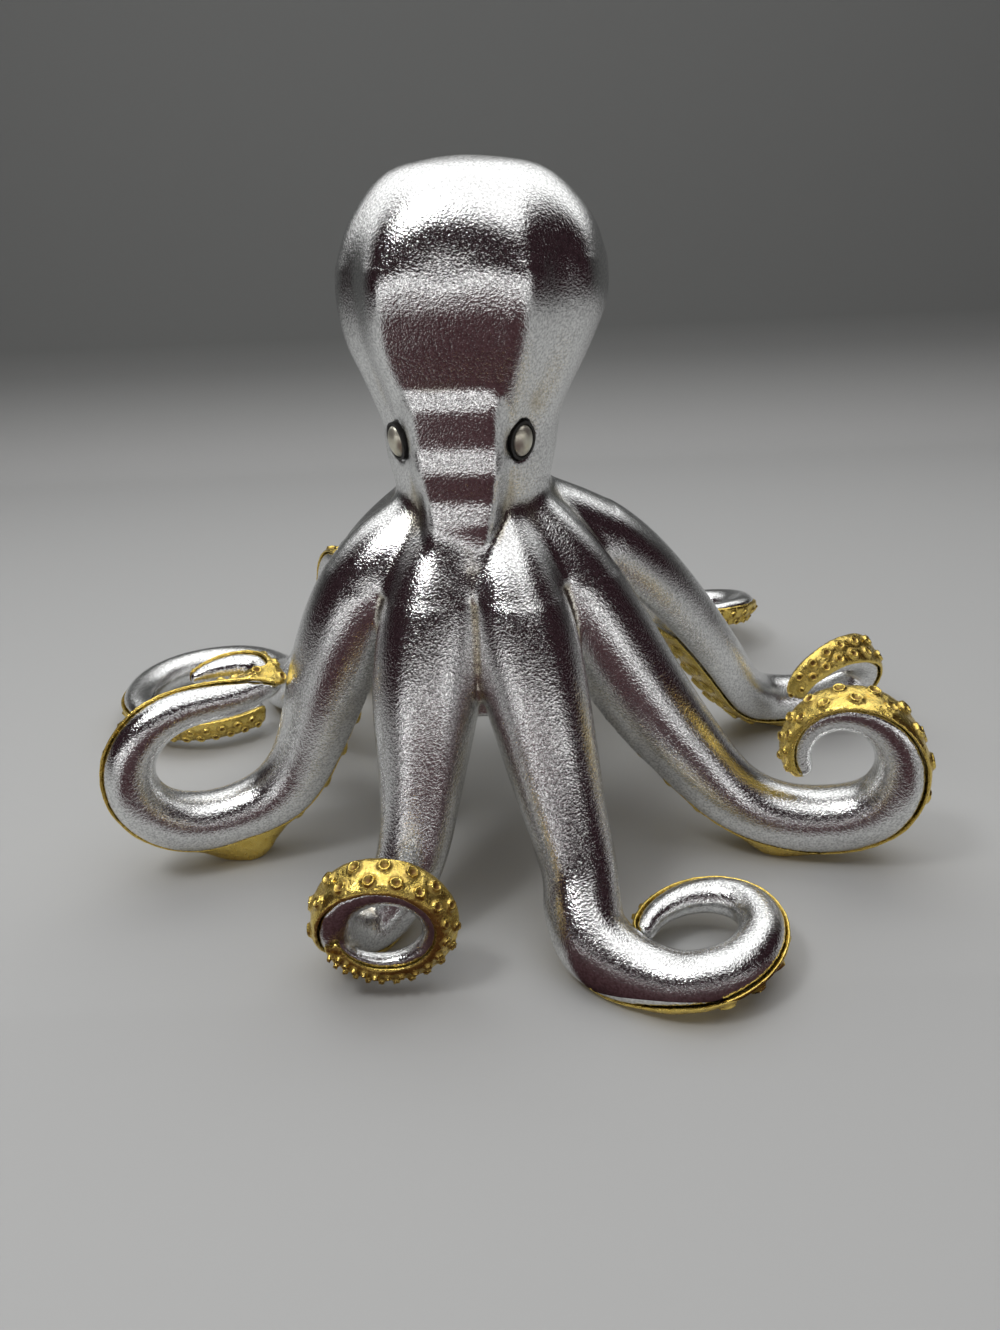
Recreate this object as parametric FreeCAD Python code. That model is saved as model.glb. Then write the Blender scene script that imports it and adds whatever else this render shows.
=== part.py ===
import FreeCAD, Part
import math
import os

os.makedirs("parts", exist_ok=True)

# Octopus figurine of hollow-cast resin, in millimetres. +Z is up and the face looks towards -Y.
# The origin lies on the table, at the centre of the figurine's footprint.

# Where the upright axis of the head stands in the footprint
AXIS_X = 0.0
AXIS_Y = -23.5

# Head: a bulb on a neck, with a hub below the neck that carries the arms
HEAD_HEIGHT = 201.0
HEAD_RADIUS = 36.5
SHELL_WALL = 4.0
BACK_BULGE = 4.0
FACE_TURN_DEG = -9.5

# Eyes: domed ovals in a thin raised rim, let into oval pockets of the neck
EYE_HEIGHT = 131.0
EYE_SEAT_RADIUS = 24.6
EYE_WIDTH = 6.4
EYE_TALL = 9.0
EYE_DOME = 2.4
EYE_POCKET = 2.4
RIM_WIDTH = 0.9
RIM_RISE = 0.8
EYE_ANGLE_DEG = 44.5
EYE_DROOP_DEG = 8.0

# Arms: a D-shaped section, round on the silver back and flat on the belly
SHOULDER_HEIGHT = 116.0
ARM_HALF_WIDTH = 16.0
ROOT_REACH = 75.0
SPIGOT_HEIGHT = 88.0
SPIGOT_RADIUS = 4.0
SPIGOT_INNER_END = 18.0
SPIGOT_OUTER_END = 32.0

# How far out from the head's axis each curl has its centre, and the radius that its curl starts with
REACH = {
    "front_left": 86.0,
    "front_right": 95.0,
    "right": 111.0,
    "back_right": 134.5,
    "rear_right": 154.0,
    "rear_left": 132.0,
    "back_left": 134.0,
    "left": 89.0,
}
CURL_RADIUS = {
    "front_left": 12.4,
    "front_right": 17.5,
    "right": 17.8,
    "back_right": 17.2,
    "rear_right": 18.0,
    "rear_left": 19.0,
    "back_left": 29.0,
    "left": 21.0,
}

# Golden band along the belly of each arm on a thin bed of adhesive, with ring-shaped suckers and a smooth foot. Where
# the arm is thinner than some half width, towards its tip, the band thins with it.
BAND_THICKNESS = 2.2
BAND_OVERHANG = 0.4
BAND_BED = 0.2
FOOT_LENGTH = 31.0
FOOT_SINK = 0.6
SUCKER_RISE = 1.1
THIN_HALF_WIDTH = 4.0

# Plug that closes the hollow casting from below
PLUG_RADIUS = 25.0
PLUG_THICKNESS = 3.0
PLUG_BOSS_RADIUS = 21.0
PLUG_BOSS_HEIGHT = 3.0

# Fits: the glue line between two castings, the play of a peg or plug in its hole, and how far cutters overrun
GLUE_LINE = 0.05
FIT_PLAY = 0.15
OVERRUN = 20.0

# Highest degree of the lofts along their length: a higher one swings out between sections
LOFT_DEGREE = 2

UP = FreeCAD.Vector(0, 0, 1)
AXIS_FOOT = FreeCAD.Vector(AXIS_X, AXIS_Y, 0)

# Heading of each arm, in degrees from the front and positive towards +X
HEADING_DEG = {
    "front_left": -22.5,
    "front_right": 22.5,
    "right": 67.5,
    "back_right": 112.5,
    "rear_right": 157.5,
    "rear_left": 202.5,
    "back_left": 247.5,
    "left": 292.5,
}

# Seams between neighbouring roots, in the same degrees: the lower and the upper seam of each arm
SEAM_DEG = {
    "front_left": (-45, 0),
    "front_right": (0, 45),
    "right": (45, 90),
    "back_right": (90, 131),
    "rear_right": (131, 180),
    "rear_left": (180, 225),
    "back_left": (225, 270),
    "left": (270, 315),
}
SEAM_FLARE_DEG = 20

# Stem of each arm from the shoulder down to the table: distance outwards and sideways as shares of the reach,
# height as a share of the shoulder's height, half width as a share of the widest arm
STEM_SHARES = {
    "front_left": [
        (0.067, 0, 1, 0.69),
        (0.196, -0.004, 0.90, 0.82),
        (0.322, -0.016, 0.79, 0.94),
        (0.416, -0.018, 0.67, 1),
        (0.500, -0.010, 0.55, 0.97),
        (0.580, 0.006, 0.43, 0.84),
        (0.662, 0.020, 0.31, 0.70),
        (0.744, 0.020, 0.21, 0.62),
        (0.826, -0.012, 0.125, 0.54),
        (0.905, -0.060, 0.088, 0.47),
    ],
    "front_right": [
        (0.063, 0, 1, 0.69),
        (0.179, 0, 0.90, 0.78),
        (0.305, -0.005, 0.79, 0.89),
        (0.400, -0.006, 0.67, 0.97),
        (0.495, -0.009, 0.54, 0.92),
        (0.589, -0.012, 0.41, 0.82),
        (0.695, -0.020, 0.29, 0.71),
        (0.800, -0.037, 0.19, 0.66),
        (0.916, -0.063, 0.11, 0.66),
    ],
    "right": [
        (0.054, 0, 1, 0.69),
        (0.162, 0, 0.90, 0.81),
        (0.261, 0.005, 0.79, 0.94),
        (0.342, 0.014, 0.67, 1),
        (0.423, 0.027, 0.54, 1),
        (0.514, 0.036, 0.41, 0.94),
        (0.622, 0.045, 0.28, 0.82),
        (0.739, 0.054, 0.17, 0.72),
        (0.883, 0.072, 0.12, 0.69),
    ],
    "back_right": [
        (0.044, 0, 1, 0.69),
        (0.147, 0, 0.91, 0.81),
        (0.243, 0, 0.84, 0.94),
        (0.338, -0.007, 0.77, 0.94),
        (0.441, -0.018, 0.66, 0.88),
        (0.544, -0.022, 0.52, 0.81),
        (0.647, -0.022, 0.36, 0.75),
        (0.757, 0.015, 0.20, 0.72),
        (0.853, 0.040, 0.12, 0.66),
        (0.956, 0.015, 0.10, 0.62),
    ],
    "rear_right": [
        (0.039, 0, 1, 0.69),
        (0.130, 0, 0.91, 0.81),
        (0.214, -0.006, 0.82, 0.94),
        (0.299, -0.026, 0.69, 0.94),
        (0.377, -0.052, 0.55, 0.88),
        (0.468, -0.084, 0.41, 0.81),
        (0.578, -0.117, 0.28, 0.75),
        (0.695, -0.143, 0.17, 0.69),
        (0.818, -0.156, 0.12, 0.62),
    ],
    "rear_left": [
        (0.045, 0, 1, 0.69),
        (0.152, 0, 0.91, 0.81),
        (0.250, 0, 0.82, 0.94),
        (0.348, 0.008, 0.69, 0.94),
        (0.439, 0.015, 0.55, 0.88),
        (0.538, 0.023, 0.41, 0.81),
        (0.652, 0.038, 0.28, 0.75),
        (0.773, 0.053, 0.16, 0.69),
        (0.894, 0.061, 0.11, 0.62),
    ],
    "back_left": [
        (0.044, 0, 1, 0.69),
        (0.139, 0, 0.91, 0.81),
        (0.226, 0, 0.81, 0.94),
        (0.307, -0.007, 0.70, 0.94),
        (0.387, -0.022, 0.56, 0.88),
        (0.482, -0.058, 0.41, 0.81),
        (0.599, -0.146, 0.27, 0.75),
        (0.715, -0.248, 0.16, 0.69),
        (0.825, -0.336, 0.11, 0.62),
    ],
    "left": [
        (0.067, 0, 1, 0.69),
        (0.202, 0, 0.91, 0.82),
        (0.345, -0.011, 0.82, 0.99),
        (0.455, -0.028, 0.71, 1),
        (0.532, -0.045, 0.59, 0.95),
        (0.600, -0.067, 0.45, 0.85),
        (0.662, -0.090, 0.32, 0.74),
        (0.775, -0.112, 0.20, 0.68),
        (0.940, -0.130, 0.155, 0.62),
    ],
}

# Curl of each arm. The centre lies sideways by a share of the reach and up by a share of the shoulder's height.
# Axis and start direction are given as outwards, sideways and up. Radii and shift along the axis are shares of the
# curl's radius, first at its start and then at its end, and half widths are shares of the widest arm.
CURL_SHARES = {
    "front_left": {
        "centre": (0.068, 0.178), "axis": (0.92, 0.38, 0), "zero": (0, 0, -1),
        "radii": (1, 1.12), "squash": 0.88, "shift": (-0.06, 0.25), "widths": (0.42, 0.16),
    },
    "front_right": {
        "centre": (0.221, 0.088), "axis": (0, -0.14, 1), "zero": (1, 0, 0),
        "radii": (1, 0.86), "squash": 0.80, "shift": (0, 0), "widths": (0.55, 0.21),
    },
    "right": {
        "centre": (0.081, 0.302), "axis": (0.08, -1, 0), "zero": (0, 0, -1),
        "radii": (1, 0.62), "squash": 1.08, "shift": (0, 0), "widths": (0.64, 0.26),
    },
    "back_right": {
        "centre": (-0.059, 0.190), "axis": (0.10, -1, -0.30), "zero": (0, 0, -1),
        "radii": (1, 0.75), "squash": 0.58, "shift": (0, 0), "widths": (0.57, 0.24),
    },
    "rear_right": {
        "centre": (-0.279, 0.147), "axis": (0.20, 0.20, 1), "zero": (1, 0, 0),
        "radii": (1, 0.78), "squash": 1, "shift": (0, 0), "widths": (0.53, 0.28),
    },
    "rear_left": {
        "centre": (0.068, 0.284), "axis": (0.08, -1, 0), "zero": (0, 0, -1),
        "radii": (1, 0.58), "squash": 1, "shift": (0, 0), "widths": (0.59, 0.28),
    },
    "back_left": {
        "centre": (-0.220, 0.090), "axis": (0, 0, 1), "zero": (1, 0, 0),
        "radii": (1, 0.90), "squash": 1.05, "shift": (0, 0), "widths": (0.53, 0.31),
    },
    "left": {
        "centre": (-0.135, 0.312), "axis": (0.04, -1, 0), "zero": (0, 0, -1),
        "radii": (1, 1), "squash": 0.89, "shift": (0, 0), "widths": (0.60, 0.37),
    },
}

# Angles of each curl in degrees: where it starts, how far it turns, and how far its belly drops towards the table
# and leans along the axis, first at the start of the curl and then at its end
CURL_DEG = {
    "front_left": {"start": -95, "turn": -335, "drop": (0, 0), "lean": (4, 72)},
    "front_right": {"start": -62, "turn": 286, "drop": (66, 10), "lean": (0, 0)},
    "right": {"start": 20, "turn": 265, "drop": (0, 0), "lean": (-25, 30)},
    "back_right": {"start": 30, "turn": 245, "drop": (0, 0), "lean": (5, 35)},
    "rear_right": {"start": 98, "turn": -262, "drop": (72, 22), "lean": (0, 0)},
    "rear_left": {"start": 20, "turn": 262, "drop": (0, 0), "lean": (0, 18)},
    "back_left": {"start": 232, "turn": 285, "drop": (75, 20), "lean": (0, 0)},
    "left": {"start": 20, "turn": 152, "drop": (0, 0), "lean": (24, 80)},
}
DEGREES_PER_CURL_ROW = 32

# The left arm ends in a hook: outwards, sideways, height and half width as above, then the belly's direction
HOOK_SHARES = [
    (0.899, -0.140, 0.470, 0.35, 0, -0.85, 0.5),
    (0.809, -0.152, 0.474, 0.34, -0.3, -0.5, 0.8),
    (0.747, -0.202, 0.487, 0.32, -0.75, -0.2, 0.6),
    (0.775, -0.270, 0.500, 0.30, -0.5, -0.8, 0.3),
    (0.865, -0.303, 0.504, 0.26, 0, -1, 0.1),
    (0.961, -0.303, 0.500, 0.14, 0.2, -0.95, 0),
]

# Section of an arm in shares of its half width: the back's height, how far the middle sits below the centre of
# the back's round, and the points of the back
BACK_SHARE = 0.98
SINK_SHARE = 0.25
BACK_DEG = (-30, -8, 18, 50, 90, 130, 162, 188, 210)
BELLY_SHARE = BACK_SHARE * math.sin(math.radians(30)) + SINK_SHARE
EDGE_SHARE = math.cos(math.radians(30))
TIP_SHARES = (0.5, 0.8, 0.95)

# Section of a band: points from edge to edge, as shares of its half width and of its depth there. At the edges the
# depth is the plain band's, also at the foot. Along its first half the band spreads to the arm's whole width.
BAND_SHARES = ((1, 0.5), (0.62, 0.95), (0, 1), (-0.62, 0.95), (-1, 0.5))
BAND_SPREAD_SHARES = (0.72, 1)
BAND_FIRST_ROW = 5

# Suckers in two staggered rows, in shares of the arm's half width, and the shares of their own radius
SUCKER_ROW_SHARE = 0.40
SUCKER_RADIUS_SHARE = 0.36
SUCKER_PITCH_SHARE = 0.45
SUCKER_CROWN_SHARE = 0.85
DIMPLE_MOUTH_SHARE = 0.62
DIMPLE_FLOOR_SHARE = 0.25
FOOT_BARE_SHARE = 0.12

# Head from the hub's bottom to the crown: height and radius as shares of the head's, the lean towards +X as a
# share of the radius, and how strongly the face is moulded there
HEAD_SHARES = [
    (0.250, 0.77, 0, 0),
    (0.370, 0.74, 0, 0),
    (0.450, 0.66, 0, 0),
    (0.520, 0.57, 0, 0),
    (0.575, 0.62, 0, 0.2),
    (0.605, 0.66, 0, 0.4),
    (0.636, 0.677, 0.006, 0.6),
    (0.670, 0.701, 0.016, 0.8),
    (0.703, 0.764, 0.020, 1),
    (0.735, 0.841, 0.036, 1),
    (0.767, 0.918, 0.040, 1),
    (0.813, 0.994, 0.060, 1),
    (0.859, 1, 0.066, 1),
    (0.911, 0.926, 0.080, 0.7),
    (0.944, 0.808, 0.090, 0.3),
    (0.973, 0.655, 0.094, 0),
    (0.992, 0.40, 0.107, 0),
    (1, 0.10, 0.120, 0),
]

# Face in plan: a flat panel, a brow ridge at each side of it and a valley outside each ridge, each given as a share
# of the radius, its direction and its spread in degrees from the middle of the face
FACE_SHARES = (-0.10, 0.03, -0.05)
FACE_DEG = ((0, 17), (31, 7), (50, 9))
PLAN_DEG = (0, 12, 22, 31, 40, 50, 62, 80, 100, 125, 150, 180, 210, 235, 260, 280, 298, 310, 320, 329, 338, 348)


def heading(degrees):
    """Level direction at some degrees from the front."""
    turn = math.radians(degrees)
    return FreeCAD.Vector(math.sin(turn), -math.cos(turn), 0)


def sideways(degrees):
    """Level direction square to a heading."""
    turn = math.radians(degrees)
    return FreeCAD.Vector(math.cos(turn), math.sin(turn), 0)


def between(ends, share):
    """Value at a share of the way from the first of two ends to the second."""
    return ends[0] + (ends[1] - ends[0]) * share


def direction(arm, outward, side, up):
    """Unit vector given in an arm's own outward, sideways and upward directions."""
    vector = heading(HEADING_DEG[arm]) * outward + sideways(HEADING_DEG[arm]) * side + UP * up
    return vector.normalize()


def place(arm, outward_share, side_share, height_share):
    """Point given in shares of an arm's reach and of the shoulder's height."""
    outward = heading(HEADING_DEG[arm]) * (REACH[arm] * outward_share)
    side = sideways(HEADING_DEG[arm]) * (REACH[arm] * side_share)
    return AXIS_FOOT + outward + side + UP * (SHOULDER_HEIGHT * height_share)


def stem_rows(arm):
    """Centre, half width and belly direction of each row of the stem."""
    shares = STEM_SHARES[arm]
    centres = [place(arm, *row[:3]) for row in shares]
    outside = heading(HEADING_DEG[arm]) + UP
    rows = []
    for index, centre in enumerate(centres):
        ahead = centres[min(index + 1, len(centres) - 1)]
        behind = centres[max(index - 1, 0)]
        belly = sideways(HEADING_DEG[arm]).cross(ahead - behind).normalize()
        if belly.dot(outside) > 0:
            belly = belly * -1
        rows.append((centre, ARM_HALF_WIDTH * shares[index][3], belly))
    return rows


def curl_rows(arm):
    """Centre, half width and belly direction of each row of the curl."""
    shares = CURL_SHARES[arm]
    angles = CURL_DEG[arm]
    middle = place(arm, 1, *shares["centre"])
    axis = direction(arm, *shares["axis"])
    zero = direction(arm, *shares["zero"])
    first = (zero - axis * zero.dot(axis)).normalize()
    second = axis.cross(first)
    count = round(abs(angles["turn"]) / DEGREES_PER_CURL_ROW)
    rows = []
    for index in range(count + 1):
        share = index / count
        turn = math.radians(angles["start"] + angles["turn"] * share)
        radius = CURL_RADIUS[arm] * between(shares["radii"], share)
        spoke = first * (math.cos(turn) * shares["squash"]) + second * math.sin(turn)
        shift = CURL_RADIUS[arm] * between(shares["shift"], share)
        centre = middle + spoke * radius + axis * shift
        drop = math.radians(between(angles["drop"], share))
        lean = math.radians(between(angles["lean"], share))
        dropped = (spoke.normalize() * math.cos(drop) - UP * math.sin(drop)).normalize()
        belly = (dropped * math.cos(lean) + axis * math.sin(lean)).normalize()
        rows.append((centre, ARM_HALF_WIDTH * between(shares["widths"], share), belly))
    return rows


def hook_rows(arm):
    """Centre, half width and belly direction of each row of the left arm's hook."""
    rows = []
    for outward, side, height, width, *belly in HOOK_SHARES:
        rows.append((place(arm, outward, side, height), ARM_HALF_WIDTH * width, direction(arm, *belly)))
    return rows


class Route:
    """Smooth curves through the rows of an arm, which give its section at any place along it."""

    def __init__(self, arm):
        rows = stem_rows(arm) + curl_rows(arm)
        if arm == "left":
            rows += hook_rows(arm)
        self.places = [0.0]
        for before, after in zip(rows, rows[1:]):
            self.places.append(self.places[-1] + math.sqrt((after[0] - before[0]).Length))
        self.centre = self.through([row[0] for row in rows])
        self.width = self.through([FreeCAD.Vector(row[1], place, 0) for row, place in zip(rows, self.places)])
        self.belly = self.through([row[2] for row in rows])

    def through(self, points):
        """Curve that passes each point at its row's place."""
        curve = Part.BSplineCurve()
        curve.interpolate(Points=points, Parameters=self.places)
        return curve

    def stops(self, first_row):
        """Places of the rows and midway between them, from one row on."""
        stops = []
        for before, after in zip(self.places[first_row:], self.places[first_row + 1:]):
            stops += [before, (before + after) / 2]
        return [*stops, self.places[-1]]

    def section(self, place):
        """Centre, half width, belly direction, direction across and direction along the arm."""
        along = FreeCAD.Vector(*self.centre.tangent(place)[0]).normalize()
        belly = self.belly.value(place)
        belly = (belly - along * belly.dot(along)).normalize()
        return self.centre.value(place), self.width.value(place).x, belly, along.cross(belly), along

    def sections(self, first_row):
        """Sections at each row and midway between rows, closed by a rounded tip."""
        rounds = [self.section(place) for place in self.stops(first_row)]
        centre, width, belly, across, along = rounds[-1]
        for share in TIP_SHARES:
            smaller = width * math.sqrt(1 - share * share)
            rounds.append((centre + along * (width * share), smaller, belly, across, along))
        return rounds


def skin(profiles):
    """Smooth solid through a row of closed profiles."""
    return Part.makeLoft(profiles, True, False, False, LOFT_DEGREE)


def closed_profile(points):
    """Wire of a smooth curve through the points and a straight line back to the first.

    Every profile of a row shares the same even spacing of its curve, which keeps the skin through them light.
    """
    curve = Part.BSplineCurve()
    curve.interpolate(Points=points, Parameters=list(range(len(points))))
    return Part.Wire([curve.toShape(), Part.makeLine(points[-1], points[0])])


def arm_profile(section):
    """Round back and flat belly at one section of an arm."""
    centre, width, belly, across, along = section
    points = []
    for degrees in BACK_DEG:
        turn = math.radians(degrees)
        rise = width * (BACK_SHARE * math.sin(turn) - SINK_SHARE)
        points.append(centre + across * (width * math.cos(turn)) - belly * rise)
    return closed_profile(points)


def band_profile(section, spread, edge, middle):
    """Flat inside against the belly and bulged outside at one section of a band."""
    centre, width, belly, across, along = section
    inside = centre + belly * (width * BELLY_SHARE + BAND_BED)
    half = (width * EDGE_SHARE + BAND_OVERHANG) * spread
    points = [inside + across * half]
    for side, depth in BAND_SHARES:
        thickness = edge if abs(side) == 1 else middle
        points.append(inside + across * (half * side) + belly * (thickness * depth))
    points.append(inside - across * half)
    return closed_profile(points)


def foot_place(route):
    """Place along an arm where its belly comes nearest to the table."""
    def underside(place):
        centre, width, belly, across, along = route.section(place)
        return (centre + belly * (width * BELLY_SHARE)).z
    return min(route.places[BAND_FIRST_ROW:], key=underside)


def foot_share(route, section):
    """How much of the foot's full thickness a section has, by its distance from the foot's middle."""
    middle = route.section(foot_place(route))[0]
    distance = (section[0] - middle).Length
    if distance > FOOT_LENGTH / 2:
        return 0
    return math.cos(math.pi * distance / FOOT_LENGTH) ** 2


def foot_thickness(route):
    """Thickness that takes a band down to the table at the middle of its foot."""
    centre, width, belly, across, along = route.section(foot_place(route))
    underside = centre + belly * (width * BELLY_SHARE)
    return max((underside.z + FOOT_SINK) / max(-belly.z, EDGE_SHARE), BAND_THICKNESS)


def spread_at(route, place):
    """Share of the arm's width that the band covers at a place along it."""
    first, last = route.places[BAND_FIRST_ROW], route.places[-1]
    return between(BAND_SPREAD_SHARES, min(max(place - first, 0) * 2 / (last - first), 1))


def suckers(route):
    """Ring-shaped suckers in two staggered rows from the start of the band to the tip, clear of the foot."""
    rings = []
    place = route.places[BAND_FIRST_ROW] + SUCKER_PITCH_SHARE
    side = 1
    while place < route.places[-1]:
        section = route.section(place)
        centre, width, belly, across, along = section
        if foot_share(route, section) < FOOT_BARE_SHARE:
            spread = spread_at(route, place)
            radius = width * spread * SUCKER_RADIUS_SHARE
            base = centre + across * (side * width * spread * SUCKER_ROW_SHARE) + belly * (width * BELLY_SHARE)
            seat = base + belly * (BAND_THICKNESS / 2)
            rise = BAND_THICKNESS / 2 + SUCKER_RISE
            ring = Part.makeCone(radius, radius * SUCKER_CROWN_SHARE, rise, seat, belly)
            mouth = seat + belly * rise
            floor, lip = radius * DIMPLE_FLOOR_SHARE, radius * DIMPLE_MOUTH_SHARE
            dimple = Part.makeCone(lip, floor, SUCKER_RISE, mouth, belly * -1)
            rings.append(ring.cut(dimple))
        speed = FreeCAD.Vector(*route.centre.getD1(place)[1]).Length
        place += width * SUCKER_PITCH_SHARE / speed
        side = -side
    return rings


def head_section(height, radius, lean, moulding):
    """Closed outline of the head in plan at one height."""
    centre = AXIS_FOOT + FreeCAD.Vector(radius * lean, 0, height)
    points = []
    for degrees in PLAN_DEG:
        off_face = abs((degrees + 180) % 360 - 180)
        change = 0
        for depth, (middle, spread) in zip(FACE_SHARES, FACE_DEG):
            change += depth * math.exp(-((off_face - middle) / spread) ** 2)
        bulge = BACK_BULGE * radius / HEAD_RADIUS * max(-math.cos(math.radians(off_face)), 0)
        reach = radius * (1 + moulding * change) + moulding * bulge
        points.append(centre + heading(FACE_TURN_DEG + degrees) * reach)
    outline = Part.BSplineCurve()
    outline.interpolate(Points=points, PeriodicFlag=True, Parameters=[*PLAN_DEG, 360])
    return Part.Wire([outline.toShape()])


def head_solid(growth):
    """The whole head, neck and hub without its hollow, grown outwards by some length."""
    outlines = []
    for height, radius, lean, moulding in HEAD_SHARES:
        outlines.append(head_section(HEAD_HEIGHT * height, HEAD_RADIUS * radius + growth, lean, moulding))
    return skin(outlines)


def hollow_solid():
    """Hollow of the casting, a wall's thickness inside the head and open below."""
    outlines = []
    for height, radius, lean, moulding in HEAD_SHARES[:-1]:
        inner = HEAD_RADIUS * radius - SHELL_WALL
        outlines.append(head_section((HEAD_HEIGHT - SHELL_WALL) * height, inner, lean, moulding))
    return skin(outlines)


def peg(arm, radius, inner_end):
    """Round peg that runs from inside the hub's wall out into an arm's root."""
    start = AXIS_FOOT + heading(HEADING_DEG[arm]) * inner_end + UP * SPIGOT_HEIGHT
    return Part.makeCylinder(radius, SPIGOT_OUTER_END - inner_end, start, heading(HEADING_DEG[arm]))


def seam_prism(arm):
    """Upright wedge that an arm's root keeps to, flaring outwards beyond the roots."""
    low, high = SEAM_DEG[arm]
    far = REACH[arm] + ROOT_REACH
    corners = [
        AXIS_FOOT,
        AXIS_FOOT + heading(low) * ROOT_REACH,
        AXIS_FOOT + heading(low - SEAM_FLARE_DEG) * far,
        AXIS_FOOT + heading((low + high) / 2) * (far * 2),
        AXIS_FOOT + heading(high + SEAM_FLARE_DEG) * far,
        AXIS_FOOT + heading(high) * ROOT_REACH,
        AXIS_FOOT,
    ]
    inset = heading((low + high) / 2) * GLUE_LINE
    corners = [corner + inset for corner in corners]
    return Part.Face(Part.makePolygon(corners)).extrude(UP * HEAD_HEIGHT)


def largest(shape):
    """Biggest solid of a shape."""
    return max(shape.Solids, key=lambda solid: solid.Volume)


def make_arm(arm, route, head):
    """Silver arm with its peg, cut to its seams, the hub and the table."""
    casting = skin([arm_profile(section) for section in route.sections(0)])
    casting = largest(casting.common(seam_prism(arm)).cut(head))
    return casting.fuse(peg(arm, SPIGOT_RADIUS, SPIGOT_INNER_END)).removeSplitter()


def make_band(route, arm):
    """Golden band with its foot and suckers, trimmed to the arm that it lies on."""
    full = foot_thickness(route)
    stops = route.stops(BAND_FIRST_ROW)
    spreads = [spread_at(route, place) for place in stops] + [BAND_SPREAD_SHARES[1]] * len(TIP_SHARES)
    profiles = []
    for section, spread in zip(route.sections(BAND_FIRST_ROW), spreads):
        thinning = min(section[1] / THIN_HALF_WIDTH, 1)
        middle = between((BAND_THICKNESS, full), foot_share(route, section))
        profiles.append(band_profile(section, spread, BAND_THICKNESS * thinning, middle * thinning))
    band = largest(skin(profiles).cut(arm))
    return largest(band.fuse(suckers(route)))


def oval(width, tall, low, high):
    """Upright prism with an oval section."""
    if width > tall:
        curve = Part.Ellipse(FreeCAD.Vector(0, 0, low), width / 2, tall / 2)
    else:
        curve = Part.Ellipse(FreeCAD.Vector(0, 0, low), tall / 2, width / 2)
        curve.rotate(FreeCAD.Placement(FreeCAD.Vector(0, 0, 0), FreeCAD.Rotation(UP, 90)))
    face = Part.Face(Part.Wire([curve.toShape()]))
    return face.extrude(UP * (high - low))


def eye_placement(side):
    """Seat of an eye on the neck: local +Z looks outwards and local +Y runs up."""
    azimuth = FACE_TURN_DEG + side * EYE_ANGLE_DEG
    droop = math.radians(EYE_DROOP_DEG)
    outward = (heading(azimuth) * math.cos(droop) - UP * math.sin(droop)).normalize()
    seat = AXIS_FOOT + heading(azimuth) * EYE_SEAT_RADIUS + UP * EYE_HEIGHT
    rotation = FreeCAD.Rotation(FreeCAD.Vector(0, 0, 0), UP, outward, "ZYX")
    return FreeCAD.Placement(seat, rotation)


def make_eye():
    """Domed oval eye on an oval plug, looking along +Z."""
    stretch = FreeCAD.Matrix()
    stretch.scale(EYE_WIDTH / 2, EYE_TALL / 2, EYE_DOME)
    dome = Part.makeSphere(1).transformGeometry(stretch)
    plug = oval(EYE_WIDTH, EYE_TALL, GLUE_LINE - EYE_POCKET, 0)
    upper = oval(EYE_WIDTH + OVERRUN, EYE_TALL + OVERRUN, 0, OVERRUN)
    return plug.fuse(dome.common(upper))


def make_rim():
    """Raised oval rim around an eye."""
    outer = oval(EYE_WIDTH + RIM_WIDTH * 2, EYE_TALL + RIM_WIDTH * 2, GLUE_LINE - EYE_POCKET, RIM_RISE)
    return outer.cut(oval(EYE_WIDTH + FIT_PLAY * 2, EYE_TALL + FIT_PLAY * 2, -OVERRUN, OVERRUN))


def make_body(head):
    """Hollow head, neck and hub with the eyes' pockets, the arms' sockets and the plug's seat."""
    bottom = HEAD_HEIGHT * HEAD_SHARES[0][0]
    body = head.cut(hollow_solid())
    for side in (-1, 1):
        margin = (RIM_WIDTH + FIT_PLAY) * 2
        pocket = oval(EYE_WIDTH + margin, EYE_TALL + margin, -EYE_POCKET, OVERRUN)
        pocket.Placement = eye_placement(side)
        body = body.cut(pocket)
    for arm in HEADING_DEG:
        body = body.cut(peg(arm, SPIGOT_RADIUS + FIT_PLAY, SPIGOT_INNER_END - OVERRUN / 2))
    seat = Part.makeCylinder(PLUG_RADIUS + FIT_PLAY, PLUG_THICKNESS + GLUE_LINE, AXIS_FOOT + UP * bottom)
    return body.cut(seat)


def make_plug():
    """Stepped round plug in the hub's open bottom."""
    bottom = HEAD_HEIGHT * HEAD_SHARES[0][0]
    disc = Part.makeCylinder(PLUG_RADIUS, PLUG_THICKNESS, AXIS_FOOT + UP * bottom)
    boss = Part.makeCylinder(PLUG_BOSS_RADIUS, PLUG_BOSS_HEIGHT, AXIS_FOOT + UP * (bottom + PLUG_THICKNESS))
    return disc.fuse(boss).removeSplitter()


def above_table(shape):
    """Shape without anything that lies below the table's top."""
    box = shape.BoundBox
    if box.ZMin >= 0:
        return shape
    corner = FreeCAD.Vector(box.XMin, box.YMin, -OVERRUN)
    return largest(shape.cut(Part.makeBox(box.XLength, box.YLength, OVERRUN, corner)))


nodes = {}
head = head_solid(0)
nodes["body"] = make_body(head)
nodes["base_plug"] = make_plug()
for side, name in ((-1, "left"), (1, "right")):
    for node, shape in (("eye_" + name, make_eye()), ("eye_rim_" + name, make_rim())):
        shape.Placement = eye_placement(side)
        nodes[node] = shape
grown_head = head_solid(GLUE_LINE)
for arm in HEADING_DEG:
    route = Route(arm)
    nodes["arm_" + arm] = above_table(make_arm(arm, route, grown_head))
    nodes["sucker_band_" + arm] = above_table(make_band(route, nodes["arm_" + arm]))

for node, shape in nodes.items():
    shape.exportStep("parts/" + node + ".step")
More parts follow.
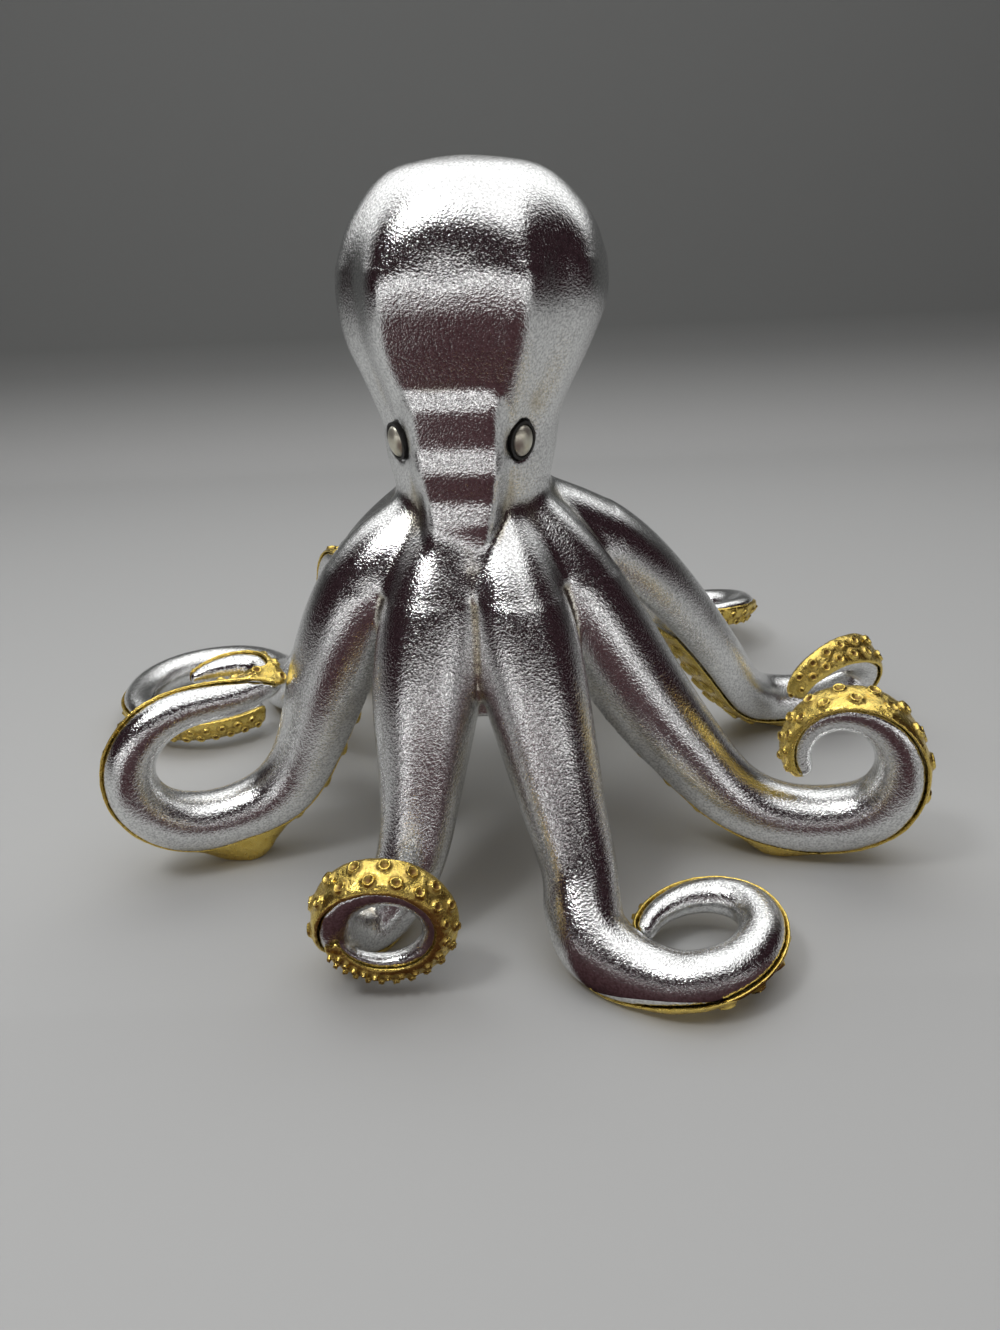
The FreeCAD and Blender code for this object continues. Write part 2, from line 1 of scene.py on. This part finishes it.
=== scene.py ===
# %% [markdown]
# # An octopus figurine in silver and gold foil
#
# The real ornament is a resin casting, 201 mm high, with metal foil pressed over it. A bulb of a head
# stands on a neck, eight arms flow out of the neck's root and curl at their ends, and each arm has a golden
# band with ring-shaped suckers on its belly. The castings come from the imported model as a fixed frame. This
# lesson gives them their skin.

# %% Load the castings
import math

import bpy
import numpy as np
from mathutils import Matrix, Vector


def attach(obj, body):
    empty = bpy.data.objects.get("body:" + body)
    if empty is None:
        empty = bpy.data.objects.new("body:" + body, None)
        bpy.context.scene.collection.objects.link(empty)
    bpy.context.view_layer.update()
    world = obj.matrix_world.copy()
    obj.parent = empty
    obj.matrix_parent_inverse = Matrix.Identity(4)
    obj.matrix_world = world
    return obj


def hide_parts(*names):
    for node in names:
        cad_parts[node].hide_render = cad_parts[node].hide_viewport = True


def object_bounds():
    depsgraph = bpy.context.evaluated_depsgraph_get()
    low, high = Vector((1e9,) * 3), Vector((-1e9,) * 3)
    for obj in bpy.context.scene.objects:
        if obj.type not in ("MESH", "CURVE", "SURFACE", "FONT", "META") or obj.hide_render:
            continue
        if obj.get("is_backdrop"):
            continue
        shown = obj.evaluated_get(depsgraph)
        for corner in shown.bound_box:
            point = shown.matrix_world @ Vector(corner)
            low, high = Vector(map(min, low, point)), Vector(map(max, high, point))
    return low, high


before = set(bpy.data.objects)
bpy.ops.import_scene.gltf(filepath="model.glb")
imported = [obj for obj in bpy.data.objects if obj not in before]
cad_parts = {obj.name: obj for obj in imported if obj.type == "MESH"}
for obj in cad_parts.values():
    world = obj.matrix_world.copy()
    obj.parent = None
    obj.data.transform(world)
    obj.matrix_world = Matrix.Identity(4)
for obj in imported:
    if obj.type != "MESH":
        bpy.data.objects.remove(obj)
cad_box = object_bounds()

MM = 0.001
ARMS = ("front_left", "front_right", "right", "back_right", "rear_right", "rear_left", "back_left", "left")
scene = bpy.context.scene
print("castings:", len(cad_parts), "height:", round(cad_box[1].z / MM, 1), "mm")

# %% [markdown]
# ## The camera
#
# The camera could be placed by eye, but a figurine looks squat or tall with a small change of height. So
# its place comes from sizes that are known: it looks down on the figurine from just under the crown's
# height, a short arm's length away, with a wide lens that makes the front arms look large.

# %% Place the camera
CAMERA_PLACE = Vector((5.5, -313.3, 194.3)) * MM
CAMERA_PITCH_DEG = 25.82
CAMERA_ROLL_DEG = -2.56
CAMERA_LENS = 27.07

camera = bpy.data.objects.new("camera", bpy.data.cameras.new("camera"))
scene.collection.objects.link(camera)
camera.data.lens = CAMERA_LENS
camera.matrix_world = (
    Matrix.Translation(CAMERA_PLACE)
    @ Matrix.Rotation(math.radians(90 - CAMERA_PITCH_DEG), 4, "X")
    @ Matrix.Rotation(math.radians(CAMERA_ROLL_DEG), 4, "Z")
)
scene.camera = camera
print("camera", round(CAMERA_PLACE.length / MM), "mm from the middle of the footprint")

# %% [markdown]
# ## Copies that can be shaped
#
# The castings themselves are never changed. A new piece starts as a copy of one or more of them. Their
# meshes are loose triangles, so the copy's doubles are merged before anything else. An operator acts on all
# that is selected, so each step deselects everything first.


# %% Helpers for copies and modifiers
MERGE_DISTANCE = 0.002 * MM
SMOOTH_FACTOR = 0.5


def select_only(piece):
    """Makes a piece the only selected and the active object."""
    bpy.ops.object.select_all(action="DESELECT")
    piece.select_set(True)
    bpy.context.view_layer.objects.active = piece


def copy_of_castings(name, nodes):
    """One object from merged copies of some castings."""
    copies = []
    for node in nodes:
        piece = bpy.data.objects.new(name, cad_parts[node].data.copy())
        scene.collection.objects.link(piece)
        copies.append(piece)
    select_only(copies[0])
    for piece in copies:
        piece.select_set(True)
    if len(copies) > 1:
        bpy.ops.object.join()
    piece = copies[0]
    piece.name = name
    piece.data.materials.clear()
    select_only(piece)
    bpy.ops.object.mode_set(mode="EDIT")
    bpy.ops.mesh.select_all(action="SELECT")
    bpy.ops.mesh.remove_doubles(threshold=MERGE_DISTANCE)
    bpy.ops.object.mode_set(mode="OBJECT")
    return piece


def modify(piece, kind, **settings):
    """Adds a modifier with its settings and applies it."""
    select_only(piece)
    modifier = piece.modifiers.new(kind.lower(), kind)
    for setting, value in settings.items():
        setattr(modifier, setting, value)
    bpy.ops.object.modifier_apply(modifier=modifier.name)


def places(piece):
    """Places of a piece's vertices as rows of numbers."""
    rows = np.empty(len(piece.data.vertices) * 3)
    piece.data.vertices.foreach_get("co", rows)
    return rows.reshape(-1, 3)


def normals_of(piece):
    """Normals at a piece's vertices as rows of numbers."""
    rows = np.empty(len(piece.data.vertices) * 3)
    piece.data.vertices.foreach_get("normal", rows)
    return rows.reshape(-1, 3)


def stand_flat(piece):
    """Brings vertices that dip below the table up to it."""
    rows = places(piece)
    rows[:, 2] = np.maximum(rows[:, 2], 0)
    piece.data.vertices.foreach_set("co", rows.ravel())
    piece.data.update()


def triangles_of(piece):
    """Number of triangles that a piece's faces make."""
    return sum(len(face.vertices) - 2 for face in piece.data.polygons)


def finish_mesh(piece, most_triangles):
    """Thins a piece to some number of triangles, stands it flat and shades it smooth."""
    triangles = triangles_of(piece)
    if triangles > most_triangles:
        modify(piece, "DECIMATE", ratio=most_triangles / triangles)
    stand_flat(piece)
    select_only(piece)
    bpy.ops.object.shade_smooth()
    print(piece.name, "has", triangles_of(piece), "triangles")


# %% [markdown]
# ## One silver skin over head and arms
#
# Under the foil the head and the arms are separate castings with fine seams. The foil bridges the seams, so
# on the real figurine the arms flow out of the neck without an edge and meet in soft grooves. Rounding each
# seam by hand would take long. A voxel remesh does it in one go: it wraps all nine castings in one even net
# of small squares, fine enough for the thin tips, and a little smoothing then rounds what the net left
# stepped.

# %% Wrap the nine silver castings
SKIN_VOXEL = 0.85 * MM
SKIN_SMOOTHING = 5
SKIN_TRIANGLES = 190000

silver_nodes = ["body"] + ["arm_" + arm for arm in ARMS]
silver_skin = copy_of_castings("silver_skin", silver_nodes)
modify(silver_skin, "REMESH", mode="VOXEL", voxel_size=SKIN_VOXEL)
modify(silver_skin, "SMOOTH", factor=SMOOTH_FACTOR, iterations=SKIN_SMOOTHING)
print("silver skin:", len(silver_skin.data.vertices), "vertices")

# %% [markdown]
# ## The soft root of the arms
#
# Where the neck turns into arms the foil lies over a wide fillet. The vertices of that zone, a low drum
# round the neck's foot, are smoothed much more than the rest. They are chosen by their place: a height
# range, and a distance from the head's upright axis.

# %% Soften the neck's root
AXIS = Vector((0, -23.5, 0)) * MM
ROOT_HEIGHTS = (90 * MM, 124 * MM)
ROOT_RADIUS = 46 * MM
ROOT_SMOOTHING = 60


def smooth_where(piece, chosen, repeats):
    """Smooths the chosen vertices of a piece."""
    select_only(piece)
    bpy.ops.object.mode_set(mode="EDIT")
    bpy.ops.mesh.select_mode(type="VERT")
    bpy.ops.mesh.select_all(action="DESELECT")
    bpy.ops.object.mode_set(mode="OBJECT")
    piece.data.vertices.foreach_set("select", chosen)
    bpy.ops.object.mode_set(mode="EDIT")
    bpy.ops.mesh.vertices_smooth(factor=SMOOTH_FACTOR, repeat=repeats)
    bpy.ops.object.mode_set(mode="OBJECT")


rows = places(silver_skin)
from_axis = np.hypot(rows[:, 0] - AXIS.x, rows[:, 1] - AXIS.y)
in_root = (rows[:, 2] > ROOT_HEIGHTS[0]) & (rows[:, 2] < ROOT_HEIGHTS[1]) & (from_axis < ROOT_RADIUS)
smooth_where(silver_skin, in_root, ROOT_SMOOTHING)
print("root vertices smoothed:", int(in_root.sum()))

# %% [markdown]
# ## A face with ledges
#
# Seen from the side the real face isn't the simple slope of the casting. It leans back from the brow to the
# eyes' height, juts out in a ledge, drops straight down between the eyes, and steps out once more to the
# throat. That steps the reflections: dark where the face is upright, bright on each ledge. A former, a
# stepped sheet with the face's profile, stands in front. A Shrinkwrap modifier lays the skin's front on it,
# with a weight that fades away before the eyes.

# %% Stand up the former
FACE_HEADING = math.radians(-9.5)
FACE_PROFILE_MM = (
    (176, 32.8),
    (171, 33.1),
    (165, 32.7),
    (156, 30.4),
    (147, 27.4),
    (141, 28.4),
    (131, 27.3),
    (124, 28.8),
    (117, 28.0),
    (110, 29.8),
    (104, 32.8),
    (98, 36.0),
    (92, 39.5),
)
FORMER_WIDTH = 60 * MM

bpy.ops.object.select_all(action="DESELECT")
bpy.ops.mesh.primitive_grid_add(size=1, x_subdivisions=1, y_subdivisions=len(FACE_PROFILE_MM) - 1)
former = bpy.context.object
former.name = "former"
step = 1 / (len(FACE_PROFILE_MM) - 1)
for vertex in former.data.vertices:
    height, forward = FACE_PROFILE_MM[round((0.5 - vertex.co.y) / step)]
    vertex.co = (vertex.co.x * FORMER_WIDTH, -forward * MM, height * MM)
former.rotation_euler.z = FACE_HEADING
former.location = AXIS
select_only(former)
bpy.ops.object.transform_apply(location=True, rotation=True, scale=False)
print("former:", len(former.data.vertices), "vertices")

# %% Lay the face on it
FACE_HEIGHTS_MM = (92, 98, 104, 110, 126, 144, 152, 170, 178)
FACE_HALF_WIDTHS_MM = (8, 9, 10, 12, 14.5, 15, 17, 18.5, 18.5)
FACE_SHARES = (0, 0, 0.4, 0.9, 1, 1, 1, 1, 0)
FACE_FADE_MM = 3.5
FACE_SMOOTHING = 12
LEAST_WEIGHT = 0.001


def paint_weights(piece, name, weights):
    """Keeps a weight for each vertex of a piece in a vertex group."""
    group = piece.vertex_groups.new(name=name)
    for index in np.flatnonzero(weights > LEAST_WEIGHT):
        group.add([int(index)], float(weights[index]), "REPLACE")
    return group.name


rows = places(silver_skin) - np.array(AXIS)
forward_way = np.array((math.sin(FACE_HEADING), -math.cos(FACE_HEADING), 0))
side_way = np.array((math.cos(FACE_HEADING), math.sin(FACE_HEADING), 0))
facing = normals_of(silver_skin) @ forward_way > 0
in_front = (rows @ forward_way > 0) & facing
heights_mm = rows[:, 2] / MM
half_widths_mm = np.interp(heights_mm, FACE_HEIGHTS_MM, FACE_HALF_WIDTHS_MM)
across = np.clip((half_widths_mm - np.abs(rows @ side_way) / MM) / FACE_FADE_MM, 0, 1)
soft_across = across * across * (3 - 2 * across)
weights = soft_across * np.interp(heights_mm, FACE_HEIGHTS_MM, FACE_SHARES) * in_front
face = paint_weights(silver_skin, "face", weights)
modify(
    silver_skin,
    "SHRINKWRAP",
    target=former,
    vertex_group=face,
    wrap_method="PROJECT",
    use_project_y=True,
    use_negative_direction=True,
    use_positive_direction=True,
)
bpy.data.objects.remove(former)
smooth_where(silver_skin, weights > LEAST_WEIGHT, FACE_SMOOTHING)
print("face vertices laid on the former:", int((weights > 0.5).sum()))

# %% [markdown]
# The crown of the casting has a faint shoulder, left by its loft. The foil rounds it off.

# %% Round the crown
CROWN_HEIGHT = 176 * MM
CROWN_SMOOTHING = 90

on_crown = places(silver_skin)[:, 2] > CROWN_HEIGHT
smooth_where(silver_skin, on_crown, CROWN_SMOOTHING)
print("crown vertices smoothed:", int(on_crown.sum()))

# %% [markdown]
# ## Recesses, for painted shade and stain
#
# The grooves are darkened with painted shade, and dark wash and yellowed varnish gather in them too. To find
# the grooves, a copy of the piece is smoothed until it has none. A vertex that lies below that smooth copy is
# in a groove, and how far below it is says how deep. The depth is kept on the mesh as an attribute, which the
# materials read later.


# %% Measure the recesses of a piece
GROOVE_SHARE = 0.3


def mark_recesses(piece, smoothing, full_depth):
    """Stores how deep each vertex lies in a groove, as a share of a full depth."""
    evened = bpy.data.objects.new("evened", piece.data.copy())
    scene.collection.objects.link(evened)
    modify(evened, "SMOOTH", factor=SMOOTH_FACTOR, iterations=smoothing)
    lift = ((places(evened) - places(piece)) * normals_of(piece)).sum(axis=1)
    depth = np.clip(lift / full_depth, -1, 1)
    # The materials darken the foil by this depth: painted shade in the grooves, with wash and varnish there
    # as well.
    recess = piece.data.attributes.new("recess", "FLOAT", "POINT")
    recess.data.foreach_set("value", depth.astype(np.float32))
    bpy.data.objects.remove(evened)
    print(piece.name, "recessed share:", round(float((depth > GROOVE_SHARE).mean()), 3))


# %% Finish the silver skin
SKIN_EVENING = 60
SKIN_GROOVE = 1.2 * MM

finish_mesh(silver_skin, SKIN_TRIANGLES)
mark_recesses(silver_skin, SKIN_EVENING, SKIN_GROOVE)
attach(silver_skin, "root")
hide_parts(*silver_nodes)

# %% [markdown]
# ## Golden bands
#
# Each band is a casting with two rows of ring-shaped suckers and a smooth foot. Pressed foil has no sharp
# edges and no two rings are quite alike. A fine remesh rounds the rings, and a Displace modifier with a
# cloud texture dents the band by a fraction of a millimetre. It only ever pushes inwards, so the band never
# grows out of its casting.

# %% Make the eight bands
BAND_VOXEL = 0.4 * MM
BAND_SMOOTHING = 2
BAND_DENT = 0.35 * MM
DENT_SIZE = 4 * MM
BAND_TRIANGLES = 90000
BAND_EVENING = 12
BAND_GROOVE = 0.3 * MM

dents = bpy.data.textures.new("dents", "CLOUDS")
dents.noise_scale = DENT_SIZE
bands = []
for arm in ARMS:
    band = copy_of_castings("gold_band_" + arm, ["sucker_band_" + arm])
    modify(band, "REMESH", mode="VOXEL", voxel_size=BAND_VOXEL)
    modify(band, "SMOOTH", factor=SMOOTH_FACTOR, iterations=BAND_SMOOTHING)
    modify(band, "DISPLACE", texture=dents, texture_coords="LOCAL", strength=BAND_DENT, mid_level=1)
    finish_mesh(band, BAND_TRIANGLES)
    mark_recesses(band, BAND_EVENING, BAND_GROOVE)
    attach(band, "root")
    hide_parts("sucker_band_" + arm)
    bands.append(band)

# %% [markdown]
# ## A small language for finishes
#
# Materials are node graphs, and sums of nodes are easier to read as sums. The class below wraps a socket,
# so that `1 - mask * 2` adds its own Math nodes. Every other node comes from one method that takes the
# node's type, its settings and what goes into its sockets.


# %% Wrap sockets and materials
class Value:
    """A socket's value, which can be added, taken away and multiplied."""

    def __init__(self, finish, socket):
        self.finish = finish
        self.socket = socket

    def maths(self, operation, *terms):
        return self.finish.node("Math", {"operation": operation}, dict(enumerate(terms)))

    def __add__(self, other):
        return self.maths("ADD", self, other)

    def __radd__(self, other):
        return self.maths("ADD", other, self)

    def __sub__(self, other):
        return self.maths("SUBTRACT", self, other)

    def __rsub__(self, other):
        return self.maths("SUBTRACT", other, self)

    def __mul__(self, other):
        return self.maths("MULTIPLY", self, other)

    def __rmul__(self, other):
        return self.maths("MULTIPLY", other, self)


class Finish:
    """A material and its nodes."""

    def __init__(self, name):
        self.material = bpy.data.materials.new(name)
        self.material.use_nodes = True
        self.tree = self.material.node_tree
        self.shader = self.tree.nodes["Principled BSDF"]

    def node(self, kind, settings=None, sockets=None, output=0):
        """Adds a node with its settings and what feeds its sockets, and gives one of its outputs."""
        made = self.tree.nodes.new("ShaderNode" + kind)
        for setting, value in (settings or {}).items():
            setattr(made, setting, value)
        for socket, value in (sockets or {}).items():
            self.feed(made.inputs[socket], value)
        return Value(self, made.outputs[output])

    def feed(self, socket, value):
        """Links a value to a socket, or sets a number or colour on it."""
        if isinstance(value, Value):
            self.tree.links.new(value.socket, socket)
        else:
            socket.default_value = value

    def surface(self, **sockets):
        """Feeds the surface's own sockets, given with _ for each space of their names."""
        for socket, value in sockets.items():
            self.feed(self.shader.inputs[socket.replace("_", " ")], value)

    def clamp(self, value, low, high):
        """Value brought from a range to 0 to 1."""
        return self.node("MapRange", {"clamp": True}, {"Value": value, "From Min": low, "From Max": high})

    def noise(self, size, detail=2, roughness=0.5):
        """Noise between 0 and 1 with grains of about some size."""
        where = self.node("TexCoord", output="Object")
        sockets = {"Vector": where, "Scale": 1 / size, "Detail": detail, "Roughness": roughness}
        return self.node("TexNoise", None, sockets)

    def mix(self, share, first, second):
        """Colour a share of the way from a first to a second one."""
        sockets = {"Factor": share, 6: first, 7: second}
        return self.node("Mix", {"data_type": "RGBA"}, sockets, output=2)

    def bump(self, height, distance):
        """Normal for a height between 0 and 1, as tall as some distance."""
        return self.node("Bump", None, {"Height": height, "Distance": distance, "Strength": 1.0})


# %% [markdown]
# ## Silver foil
#
# Thin foil pressed on resin is a mirror broken into grains: every patch of half a millimetre faces its own
# way, so a reflection has ragged, sparkling edges. The base is a smooth metal whose grey changes from grain
# to grain. Two noises of different size make the grain in the bump, a third and broader one the pressed
# waves, and roughness varies a little too. The grooves are darkened with painted shade, and old varnish has
# yellowed in some of them.

# %% Mix the silver foil
SILVER = (0.56, 0.565, 0.56, 1)
SILVER_BRIGHT = (0.95, 0.955, 0.95, 1)
# Darker brown for the grooves: painted shade together with yellowed varnish.
VARNISH_SHADE_COLOUR = (0.46, 0.38, 0.20, 1)

FOIL_GRAIN = 0.65 * MM
FOIL_FINE_GRAIN = 0.3 * MM
FOIL_WAVE = 9 * MM
STAIN_PATCH = 26 * MM
FOIL_RELIEF = 0.15 * MM

silver = Finish("silver_foil")
grain = silver.noise(FOIL_GRAIN)
fine_grain = silver.noise(FOIL_FINE_GRAIN, 1)
waves = silver.noise(FOIL_WAVE)
recess = silver.node("Attribute", {"attribute_name": "recess"}, output="Fac")
patches = silver.clamp(silver.noise(STAIN_PATCH), 0.5, 0.72)
# Painted shade: the foil turns darker and browner with the depth of its grooves, more so in patches of
# varnish.
groove_shade_and_varnish = silver.clamp(recess, 0.12, 0.6) * 0.5 + silver.clamp(recess, 0.05, 0.4) * patches * 0.5
foil_colour = silver.mix(silver.clamp(grain, 0.35, 0.65), SILVER, SILVER_BRIGHT)
relief = grain * 0.9 + fine_grain * 0.35 + waves * 0.8
silver.surface(
    Base_Color=silver.mix(groove_shade_and_varnish, foil_colour, VARNISH_SHADE_COLOUR),
    Metallic=1.0,
    Roughness=0.07 + 0.12 * fine_grain + 0.2 * groove_shade_and_varnish,
    Normal=silver.bump(relief, FOIL_RELIEF),
)
silver_skin.data.materials.append(silver.material)
print("silver foil:", len(silver.tree.nodes), "nodes")

# %% [markdown]
# ## Gold foil
#
# The bands have a warmer and glossier foil. A brown wash, wiped off again, stays in the dimples and round the
# rings, and painted shade darkens the same hollows: the recess attribute says where. The darkening isn't
# metal, so it takes Metallic down as well as the colour.

# %% Mix the gold foil
GOLD = (0.76, 0.53, 0.10, 1)
GOLD_PALE = (0.94, 0.74, 0.23, 1)
# Dark brown for the dimples: painted shade together with the wiped brown wash.
WASH_SHADE_COLOUR = (0.16, 0.075, 0.012, 1)

GOLD_GRAIN = 0.9 * MM
GOLD_RIB = 2.5 * MM
GOLD_RELIEF = 0.35 * MM

gold = Finish("gold_foil")
grain = gold.noise(GOLD_GRAIN, 3, 0.6)
ribs = gold.noise(GOLD_RIB)
recess = gold.node("Attribute", {"attribute_name": "recess"}, output="Fac")
# Painted shade and wash: the band turns dark brown with the depth of its dimples, broken up by the ribs.
groove_shade_and_wash = gold.clamp(recess + (ribs - 0.5) * 0.6, 0.06, 0.5)
gold.surface(
    Base_Color=gold.mix(groove_shade_and_wash, gold.mix(ribs, GOLD, GOLD_PALE), WASH_SHADE_COLOUR),
    Metallic=1 - 0.55 * groove_shade_and_wash,
    Roughness=0.20 + 0.12 * grain + 0.2 * groove_shade_and_wash,
    Normal=gold.bump(grain * 0.5 + ribs, GOLD_RELIEF),
)
for band in bands:
    band.data.materials.append(gold.material)
print("gold foil on", len(bands), "bands")

# %% [markdown]
# ## Eyes, rims and plug
#
# These castings have the right shape already, so they stay and only get a finish. The eyes are satin silver
# with a yellowish varnish, the rims are black paint with an uneven gloss, and the plug is bare resin.

# %% Finish the small castings
EYE_VARNISHED = (0.62, 0.58, 0.42, 1)
EYE_SILVER = (0.88, 0.87, 0.80, 1)
EYE_CLOUD = 2.2 * MM
EYE_GRAIN = 0.8 * MM
EYE_RELIEF = 0.06 * MM

eye_silver = Finish("eye_silver")
cloud = eye_silver.noise(EYE_CLOUD)
eye_silver.surface(
    Base_Color=eye_silver.mix(cloud, EYE_VARNISHED, EYE_SILVER),
    Metallic=0.9,
    Roughness=0.30 + 0.14 * cloud,
    Normal=eye_silver.bump(eye_silver.noise(EYE_GRAIN), EYE_RELIEF),
)

PAINT_BLACK = (0.006, 0.006, 0.006, 1)
PAINT_WORN = (0.030, 0.026, 0.022, 1)
PAINT_STROKE = 0.9 * MM
PAINT_RELIEF = 0.12 * MM

black_paint = Finish("black_paint")
strokes = black_paint.noise(PAINT_STROKE, 3, 0.6)
black_paint.surface(
    Base_Color=black_paint.mix(strokes, PAINT_BLACK, PAINT_WORN),
    Roughness=0.28 + 0.3 * strokes,
    Normal=black_paint.bump(strokes, PAINT_RELIEF),
)

RESIN_DARK = (0.52, 0.49, 0.42, 1)
RESIN_PALE = (0.66, 0.63, 0.56, 1)
RESIN_MOTTLE = 5 * MM
RESIN_GRAIN = 0.7 * MM
RESIN_RELIEF = 0.05 * MM

bare_resin = Finish("bare_resin")
mottle = bare_resin.noise(RESIN_MOTTLE, 4, 0.6)
bare_resin.surface(
    Base_Color=bare_resin.mix(mottle, RESIN_DARK, RESIN_PALE),
    Roughness=0.55 + 0.2 * mottle,
    Normal=bare_resin.bump(bare_resin.noise(RESIN_GRAIN), RESIN_RELIEF),
)

for node, finish in (
    ("eye_left", eye_silver),
    ("eye_right", eye_silver),
    ("eye_rim_left", black_paint),
    ("eye_rim_right", black_paint),
    ("base_plug", bare_resin),
):
    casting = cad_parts[node]
    casting.data.materials.clear()
    casting.data.materials.append(finish.material)
print("castings kept as they are: 5")

# %% [markdown]
# ## Table, backdrop and light
#
# Metal shows what stands round it more than its own colour, so the surroundings matter here more than the
# lamps. A pale sheet runs along the table and up behind the figurine, its upright part painted a darker grey
# as painted shade. Two large soft lamps hang over and behind it, a low strip of light stands far in front,
# and a small lamp makes the foil sparkle. Between them the room is dark, with a warm tint, and that is what
# the arms' dark streaks are. A dark card lies on the table in front, seen only in reflections, for the face.
# Only the lens itself sees the room in a pale grey.

# %% Lay the sheet
SHEET_WIDTH = 3.0
SHEET_FRONT = -1.6
SHEET_BACK = 0.43
SHEET_BEND = 0.07
SHEET_TOP = 1.5
BEND_STEPS = 16
EDGE_REACH = 1 * MM

bpy.ops.object.select_all(action="DESELECT")
bpy.ops.mesh.primitive_plane_add(size=1, location=(0, 0, 0))
sheet = bpy.context.object
sheet.name = "backdrop_sheet"
sheet.scale = (SHEET_WIDTH, SHEET_BACK - SHEET_FRONT, 1)
sheet.location = (0, (SHEET_BACK + SHEET_FRONT) / 2, 0)
bpy.ops.object.transform_apply(location=True, rotation=False, scale=True)
bpy.ops.object.mode_set(mode="EDIT")
bpy.ops.mesh.select_mode(type="EDGE")
bpy.ops.mesh.select_all(action="DESELECT")
bpy.ops.object.mode_set(mode="OBJECT")
for edge in sheet.data.edges:
    ends = [sheet.data.vertices[index].co.y for index in edge.vertices]
    edge.select = min(ends) > SHEET_BACK - EDGE_REACH
bpy.ops.object.mode_set(mode="EDIT")
bpy.ops.mesh.spin(
    steps=BEND_STEPS, angle=math.radians(-90), center=(0, SHEET_BACK, SHEET_BEND), axis=(1, 0, 0), dupli=False
)
bpy.ops.mesh.extrude_region_move(TRANSFORM_OT_translate={"value": (0, 0, SHEET_TOP)})
bpy.ops.object.mode_set(mode="OBJECT")
bpy.ops.object.shade_smooth()
sheet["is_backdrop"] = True
low, high = Vector(sheet.bound_box[0]), Vector(sheet.bound_box[6])
print("sheet from", [round(x, 2) for x in low], "to", [round(x, 2) for x in high])

# %% Colour the sheet
# The floor is pale. Over the bend and up the wall the sheet is painted a darker grey: painted shade for the
# light falling off there.
SHEET_GREY = (0.49, 0.496, 0.49, 1)
WALL_SHADE_GREY = (0.19, 0.195, 0.19, 1)
SHADE_HEIGHT = 0.09

paper = Finish("pale_paper")
height = paper.node("SeparateXYZ", None, {"Vector": paper.node("TexCoord", output="Object")}, output="Z")
paper.surface(
    Base_Color=paper.mix(paper.clamp(height, 0, SHADE_HEIGHT), SHEET_GREY, WALL_SHADE_GREY),
    Roughness=0.75,
)
behind = paper.node("NewGeometry", output="Backfacing")
clear = paper.node("BsdfTransparent")
shown = paper.node("MixShader", None, {0: behind, 1: Value(paper, paper.shader.outputs[0]), 2: clear})
paper.feed(paper.tree.nodes["Material Output"].inputs["Surface"], shown)
sheet.data.materials.append(paper.material)

# %% Lay the dark card in front
CARD_NEAR = Vector((0, -112, 1)) * MM
CARD_FAR = Vector((0, -420, 150)) * MM
CARD_WIDTH = 300 * MM
CARD_COLOUR = (0.060, 0.024, 0.028, 1)

bpy.ops.object.select_all(action="DESELECT")
bpy.ops.mesh.primitive_plane_add(size=1)
card = bpy.context.object
card.name = "dark_card"
slope = CARD_FAR - CARD_NEAR
card.scale = (CARD_WIDTH, slope.length, 1)
card.rotation_euler = (math.atan2(slope.z, slope.y), 0, 0)
card.location = (CARD_NEAR + CARD_FAR) / 2
card.visible_camera = False
card.visible_diffuse = False
card.visible_shadow = False
dim = Finish("dim_card")
dim.surface(Base_Color=CARD_COLOUR, Roughness=1.0)
card.data.materials.append(dim.material)
card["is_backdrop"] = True
print("card", round(slope.length / MM), "mm long")

# %% Hang the lamps and set the room's light
# Name, place in metres, turn about X in degrees, width and depth in metres, power in watts.
LAMPS = (
    ("over_lamp", (0, -0.08, 0.95), 0, (1.2, 1.0), 5.4),
    ("back_lamp", (0, 0.40, 0.68), -72, (1.6, 0.6), 3.6),
    ("front_lamp", (0, -0.64, 0.19), 90, (1.7, 0.17), 1.3),
    ("spark_lamp", (-0.40, -0.30, 0.85), -20, (0.2, 0.2), 2.0),
)
ROOM_COLOUR = (0.026, 0.014, 0.017, 1)
SEEN_GREY = (0.20, 0.203, 0.20, 1)

for name, place, tilt_deg, size, power in LAMPS:
    lamp = bpy.data.objects.new(name, bpy.data.lights.new(name, "AREA"))
    scene.collection.objects.link(lamp)
    lamp.data.shape = "RECTANGLE"
    lamp.data.size, lamp.data.size_y = size
    lamp.data.energy = power
    lamp.location = place
    lamp.rotation_euler = (math.radians(tilt_deg), 0, 0)
    lamp.visible_camera = False

room = bpy.data.worlds.new("room")
scene.world = room
room.use_nodes = True
ray = room.node_tree.nodes.new("ShaderNodeLightPath")
tone = room.node_tree.nodes.new("ShaderNodeMix")
tone.data_type = "RGBA"
tone.inputs[6].default_value = ROOM_COLOUR
tone.inputs[7].default_value = SEEN_GREY
room.node_tree.links.new(ray.outputs["Is Camera Ray"], tone.inputs["Factor"])
room.node_tree.links.new(tone.outputs[2], room.node_tree.nodes["Background"].inputs["Color"])
room.node_tree.nodes["Background"].inputs["Strength"].default_value = 1.0
scene.view_settings.view_transform = "Standard"

# %% Check the size and finish
new_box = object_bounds()
for name, box in (("castings", cad_box), ("figurine", new_box)):
    print(name, [round(x / MM, 1) for x in box[0]], [round(x / MM, 1) for x in box[1]])
